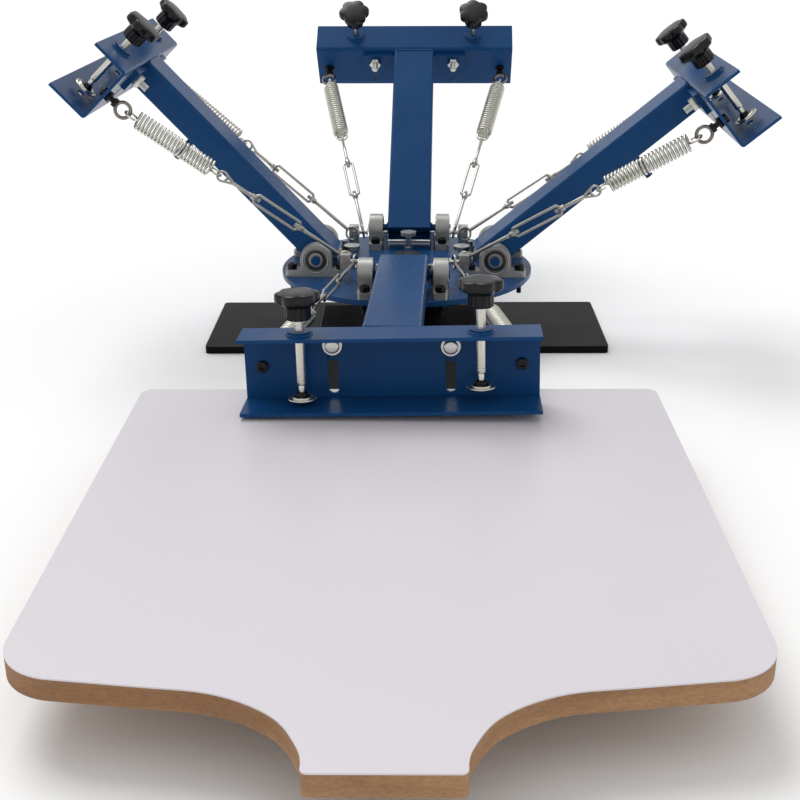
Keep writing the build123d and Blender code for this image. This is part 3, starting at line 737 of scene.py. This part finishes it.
def build_chains(station):
    """Both balance springs of an arm, each with its turnbuckle."""
    for side in SIDES:
        place, coil = chain_frame(station, side)
        word = SIDE_WORD[side]
        spring = spring_mesh(coil, EYE_TURNS[station])
        bmesh.ops.transform(spring, matrix=place, verts=spring.verts)
        item = piece(f"{station}_spring_{word}", spring, SPRING, None,
                     (f"{station}_springs",), smooth=60)
        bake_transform(item)
        eye_at = COIL_START + coil + HOOK_B + EYE_B
        low = eye_at + BUCKLE_START
        high = low + BUCKLE_LONG
        screws = link_screws(eye_at, eye_at + LINK_LONG, low, high)
        body = link_body(low, high)
        turn = turned(BUCKLE_TURNS[station], "Z")
        bmesh.ops.transform(body, matrix=turn, verts=body.verts)
        for label, work in (("hooks", screws), ("turnbuckle", body)):
            bmesh.ops.transform(work, matrix=place, verts=work.verts)
            piece(f"{station}_{label}_{word}", work, LINK_STEEL, f"{station}_links",
                  (f"{station}_links",), smooth=50)


# ---------------------------------------------------------------- fasteners
def channel_bolt():
    """Domed bolt with its washer and nut, along z from the hinge outwards."""
    part = lathe(raised(WASHER_OUTLINE, WEB_FRONT), steps=36)
    merge(part, lathe(raised(DOME_OUTLINE, WEB_FRONT), steps=36))
    merge(part, hexagon(BOLT_NUT, PLATE_OUT - BOLT_NUT_HIGH, PLATE_OUT, bevel=0.6))
    merge(part, bar(BOLT_ROOT, PLATE_OUT - BOLT_TAIL, WEB_FRONT + BOLT_IN_HEAD, segments=18,
                    bevel=0.5))
    merge(part, thread(BOLT_RADIUS, BOLT_THREAD_DEEP, BOLT_PITCH,
                       PLATE_OUT - BOLT_THREAD_TAIL, PLATE_OUT - BOLT_THREAD_HEAD))
    return part


def eye_bolt():
    """Shank, nut, collar and socket head of an eye bolt, along z like the channel bolt."""
    ring_end = EYE_OUT + EYE_RING
    part = bar(EYE_SHANK, ring_end, WEB_FRONT, segments=18)
    merge(part, hexagon(EYE_NUT, WEB_BACK - EYE_NUT_HIGH, WEB_BACK))
    merge(part, hexagon(EYE_COLLAR, ring_end + EYE_COLLAR_START, ring_end + EYE_COLLAR_END))
    merge(part, lathe(raised(SOCKET_OUTLINE, WEB_FRONT), steps=28))
    return part


def build_fasteners(station):
    """Channel bolts, and the eye bolts with the rings that the springs hook into."""
    arm = arm_frame(station)
    channel = channel_frame(station)
    body = f"{station}_arm"
    replaced = (f"{station}_fasteners",)
    bolts = bmesh.new()
    rings = bmesh.new()
    eyes = bmesh.new()
    for side in SIDES:
        merge(bolts, channel_bolt(), arm @ stand((0, side * BOLT_SPREAD, BOLT_LEVEL), (1, 0, 0)))
        ring = wire_ring(0, (0, 1, 0), EYE_RING, EYE_WIRE, steps=34, sides=10)
        spot = shifted(EYE_OUT, side * EYE_SPREAD, EYE_LEVEL)
        merge(rings, ring, channel @ spot @ turned(EYE_TURNS[station], "X"))
        merge(eyes, eye_bolt(), channel @ stand((0, side * EYE_SPREAD, EYE_LEVEL), (1, 0, 0)))
    piece(f"{station}_channel_bolts", bolts, ZINC, body, replaced, smooth=40)
    piece(f"{station}_eye_rings", rings, EYE_STEEL, body, replaced, smooth=50)
    piece(f"{station}_eye_bolts", eyes, BLACK_STEEL, body, replaced, smooth=40)


# ---------------------------------------------------------------- clamp screws
def knob_mesh():
    """Hand knob: a lobed mushroom head over a fluted hub."""
    part = lathe(raised(KNOB_OUTLINE, KNOB_LOW), steps=132)
    for vert in part.verts:
        height = vert.co.z / MM - KNOB_LOW
        turn = math.atan2(vert.co.y, vert.co.x)
        radius = math.hypot(vert.co.x, vert.co.y) / MM
        if radius < KNOB_CORE:
            continue
        if height < KNOB_HUB:
            cut = FLUTE_CUT * (0.5 - 0.5 * math.cos(KNOB_FLUTES * turn)) ** 2
        else:
            lobe = 0.5 + 0.5 * math.cos(KNOB_LOBES * turn)
            cut = LOBE_CUT * (radius - KNOB_CORE) / KNOB_WING * (1 - lobe ** LOBE_POWER)
        vert.co.x *= 1 - cut
        vert.co.y *= 1 - cut
    return part


def screw_mesh():
    """Clamp screw: threaded below the knob, with a plain neck down into its pad."""
    part = bar(SCREW_ROOT, NECK_TOP, KNOB_LOW + SCREW_IN_KNOB, segments=28, bevel=0.5)
    merge(part, bar(NECK_RADIUS, NECK_LOW, NECK_TOP + NECK_LAP, segments=20, bevel=0.5))
    merge(part, thread(SCREW_RADIUS, SCREW_THREAD_DEEP, SCREW_PITCH, NECK_TOP + NECK_LAP,
                       KNOB_LOW + THREAD_IN_KNOB, steps_per_turn=20))
    return part


def build_clamp_screws(station):
    """Both clamps of a channel: knob, screw, pressed pad and the cone that holds the screw."""
    for side in SIDES:
        word = SIDE_WORD[side]
        place = foot_frame(station, side)
        turning = f"{station}_screw_{word}"
        seat = f"{station}_foot_{word}"
        knob = knob_mesh()
        spin = turned(KNOB_SIDE_TURN * side + KNOB_ARM_TURN * STATIONS.index(station), "Z")
        bmesh.ops.transform(knob, matrix=place @ spin, verts=knob.verts)
        piece(f"{station}_handle_{word}", knob, KNOB, turning,
              (f"{station}_knob_{word}",), smooth=40)
        for label, work, finish, body in (
                ("spindle", screw_mesh(), SCREW_STEEL, turning),
                ("pad", lathe(PAD_OUTLINE, steps=48), SCREW_STEEL, seat),
                ("pad_cone", lathe(CONE_OUTLINE, steps=32), BLACK_STEEL, seat)):
            bmesh.ops.transform(work, matrix=place, verts=work.verts)
            piece(f"{station}_{label}_{word}", work, finish, body, (body,),
                  smooth=40)


# ---------------------------------------------------------------- welds and bearings
def bead(radius, level, throat):
    """A rippled weld bead around a bar of this radius, on the face at this level."""
    inside, sunk = radius - BEAD_SINK, level - BEAD_SINK
    outline = [(inside, sunk), (radius + throat, sunk),
               (radius + throat * BEAD_SHOULDER, level + throat * BEAD_SHELF),
               (radius + throat * BEAD_SHELF, level + throat * BEAD_SHOULDER),
               (radius, level + throat), (inside, level + throat), (inside, sunk)]
    part = lathe(outline, steps=54)
    for vert in part.verts:
        turn = math.atan2(vert.co.y, vert.co.x)
        ripple = 1 + sum(size * math.sin(count * turn + lag) for size, count, lag in BEAD_RIPPLES)
        if math.hypot(vert.co.x, vert.co.y) > (radius + BEAD_ROOT) * MM:
            vert.co.x *= ripple
            vert.co.y *= ripple
    return part


def build_welds(station):
    """Beads round the clamp nuts and the hinge shaft, and seams at the tube's outer end."""
    arm = arm_frame(station)
    channel = channel_frame(station)
    work = bmesh.new()
    for side in SIDES:
        spot = shifted(SCREW_OUT, side * SCREW_SPREAD, 0)
        merge(work, bead(WELD_NUT, CHANNEL_TOP, NUT_BEAD), channel @ spot)
        edge = side * TUBE_HALF
        merge(work, bead(SHAFT, 0, SHAFT_BEAD), arm @ stand((0, edge, 0), (0, side, 0)))
        merge(work, strut(SIDE_SEAM, (PLATE_OUT, edge, TUBE_LOW + SEAM_INSET),
                          (PLATE_OUT, edge, PLATE_TOP), segments=14), arm)
    out = WEB_BACK - TOP_SEAM_BACK
    across = TUBE_HALF - SEAM_INSET
    level = TUBE_TOP - TOP_SEAM_SINK
    seam = strut(TOP_SEAM, (out, -across, level), (out, across, level), segments=14)
    merge(work, seam, arm)
    piece(f"{station}_welds", work, BLUE, f"{station}_arm", smooth=50)


def cap_screw():
    """Socket cap screw and its nut, around the bolt line of a bearing foot."""
    seat = PILLOW_FOOT - DISC_BELOW
    under = -DISC_BELOW - DISC_THICK
    part = lathe(raised(CAP_OUTLINE, seat), steps=32)
    merge(part, hexagon(CAP_NUT, under - CAP_NUT_HIGH, under))
    merge(part, bar(CAP_ROOT, seat - CAP_TAIL, seat + CAP_IN_HEAD, segments=16, bevel=0.4))
    merge(part, thread(CAP_RADIUS, CAP_THREAD_DEEP, CAP_PITCH, seat - CAP_THREAD_TAIL,
                       under + CAP_THREAD_LAP, steps_per_turn=12))
    return part


def build_cap_screws():
    """Two cap screws through the foot of each bearing block."""
    work = bmesh.new()
    for station in STATIONS:
        place = hinge_frame(station)
        for side in SIDES:
            for along in (-PILLOW_BOLTS, PILLOW_BOLTS):
                merge(work, cap_screw(), place @ shifted(along, side * PILLOW_SPREAD, 0))
    piece("bearing_cap_screws", work, BLACK_STEEL, "turntable",
          ("pillow_bolts",), smooth=40)


def ring_section(inner, outer, reach, ease):
    """A turned ring with eased outer rims, centred on its own axis."""
    outline = [(inner, -reach), (outer - ease, -reach), (outer, ease - reach),
               (outer, reach - ease), (outer - ease, reach), (inner, reach), (inner, -reach)]
    return lathe(outline, steps=48)


def build_bearings():
    """Races, seals and the raised rims of each housing around its bearing. The rims take the
    brighter race steel, a painted highlight on the housing's lip.
    """
    races_and_lip_highlights = bmesh.new()
    seals = bmesh.new()
    half = PILLOW_WIDE / 2
    for station in STATIONS:
        arm = arm_frame(station)
        for side in SIDES:
            spot = arm @ stand((0, side * PILLOW_SPREAD, 0), (0, 1, 0))
            merge(races_and_lip_highlights, ring_section(INNER_BORE, INNER_RACE, half, INNER_EASE), spot)
            merge(races_and_lip_highlights, ring_section(SEAL_RIM, OUTER_RACE, half - OUTER_SINK, OUTER_EASE), spot)
            merge(seals, ring_section(INNER_RACE - SEAL_LAP_IN, SEAL_RIM + SEAL_LAP_OUT,
                                      SEAL_REACH, SEAL_EASE), spot)
            # Each housing's lip, in the brighter race steel: a painted highlight on the housing's
            # edge.
            for level in (-half, half):
                rim = wire_ring(level, (0, 0, 1), LIP_HIGHLIGHT_RADIUS, LIP_HIGHLIGHT_WIRE, steps=48)
                merge(races_and_lip_highlights, rim, spot)
    replaced = ("bearing_inserts",)
    piece("bearing_races_and_lip_highlights", races_and_lip_highlights, RACE_AND_LIP_HIGHLIGHT_STEEL, "turntable", replaced, smooth=40)
    piece("bearing_seals", seals, BEARING_STEEL, "turntable", replaced, smooth=40)


build_cap_screws()
build_bearings()
for station in STATIONS:
    build_chains(station)
    build_fasteners(station)
    build_clamp_screws(station)
    build_welds(station)


# ---------------------------------------------------------------- studio
def build_floor():
    """A plain pale floor all around the press."""
    part = bmesh.new()
    bmesh.ops.create_grid(part, x_segments=2, y_segments=2, size=FLOOR_HALF)
    mesh = bpy.data.meshes.new("floor")
    part.to_mesh(mesh)
    part.free()
    floor = bpy.data.objects.new("floor", mesh)
    bpy.context.scene.collection.objects.link(floor)
    material, shader, _ = new_material("pale_floor")
    shader.inputs["Base Color"].default_value = FLOOR_TONE
    shader.inputs["Roughness"].default_value = FLOOR_ROUGHNESS
    mesh.materials.append(material)


def build_camera():
    """The camera, turned by its yaw, pitch and roll."""
    pitch, yaw, roll = (math.radians(v) for v in (CAMERA_PITCH, CAMERA_YAW, CAMERA_ROLL))
    forward = Vector((-math.sin(yaw) * math.cos(pitch), math.cos(yaw) * math.cos(pitch),
                      -math.sin(pitch)))
    level = Vector((math.cos(yaw), math.sin(yaw), 0))
    upright = level.cross(forward)
    right = math.cos(roll) * level + math.sin(roll) * upright
    up = -math.sin(roll) * level + math.cos(roll) * upright
    data = bpy.data.cameras.new("camera")
    data.lens = CAMERA_LENS
    data.sensor_width = CAMERA_SENSOR
    data.sensor_fit = "HORIZONTAL"
    data.clip_end = VIEW_REACH
    camera = bpy.data.objects.new("camera", data)
    camera.matrix_world = axes_matrix(right, up, -forward, Vector(CAMERA_AT))
    bpy.context.scene.collection.objects.link(camera)
    bpy.context.scene.camera = camera


def sun_light(name, towards, strength, spread):
    """A distant light that stands in the given direction; the spread is in degrees."""
    data = bpy.data.lights.new(name, "SUN")
    data.energy = strength
    data.angle = math.radians(spread)
    light = bpy.data.objects.new(name, data)
    light.rotation_euler = (-Vector(towards)).to_track_quat("-Z", "Y").to_euler()
    bpy.context.scene.collection.objects.link(light)


def build_studio():
    """Floor, camera, sky and light."""
    build_floor()
    build_camera()
    world = bpy.data.worlds.new("studio")
    world.use_nodes = True
    sky = world.node_tree.nodes["Background"]
    sky.inputs["Color"].default_value = (1, 1, 1, 1)
    sky.inputs["Strength"].default_value = SKY_STRENGTH
    bpy.context.scene.world = world
    sun_light("back_window", SUN_TOWARDS, SUN_STRENGTH, SUN_SPREAD)
    view = bpy.context.scene.view_settings
    view.view_transform = "Standard"
    view.look = "None"


build_studio()
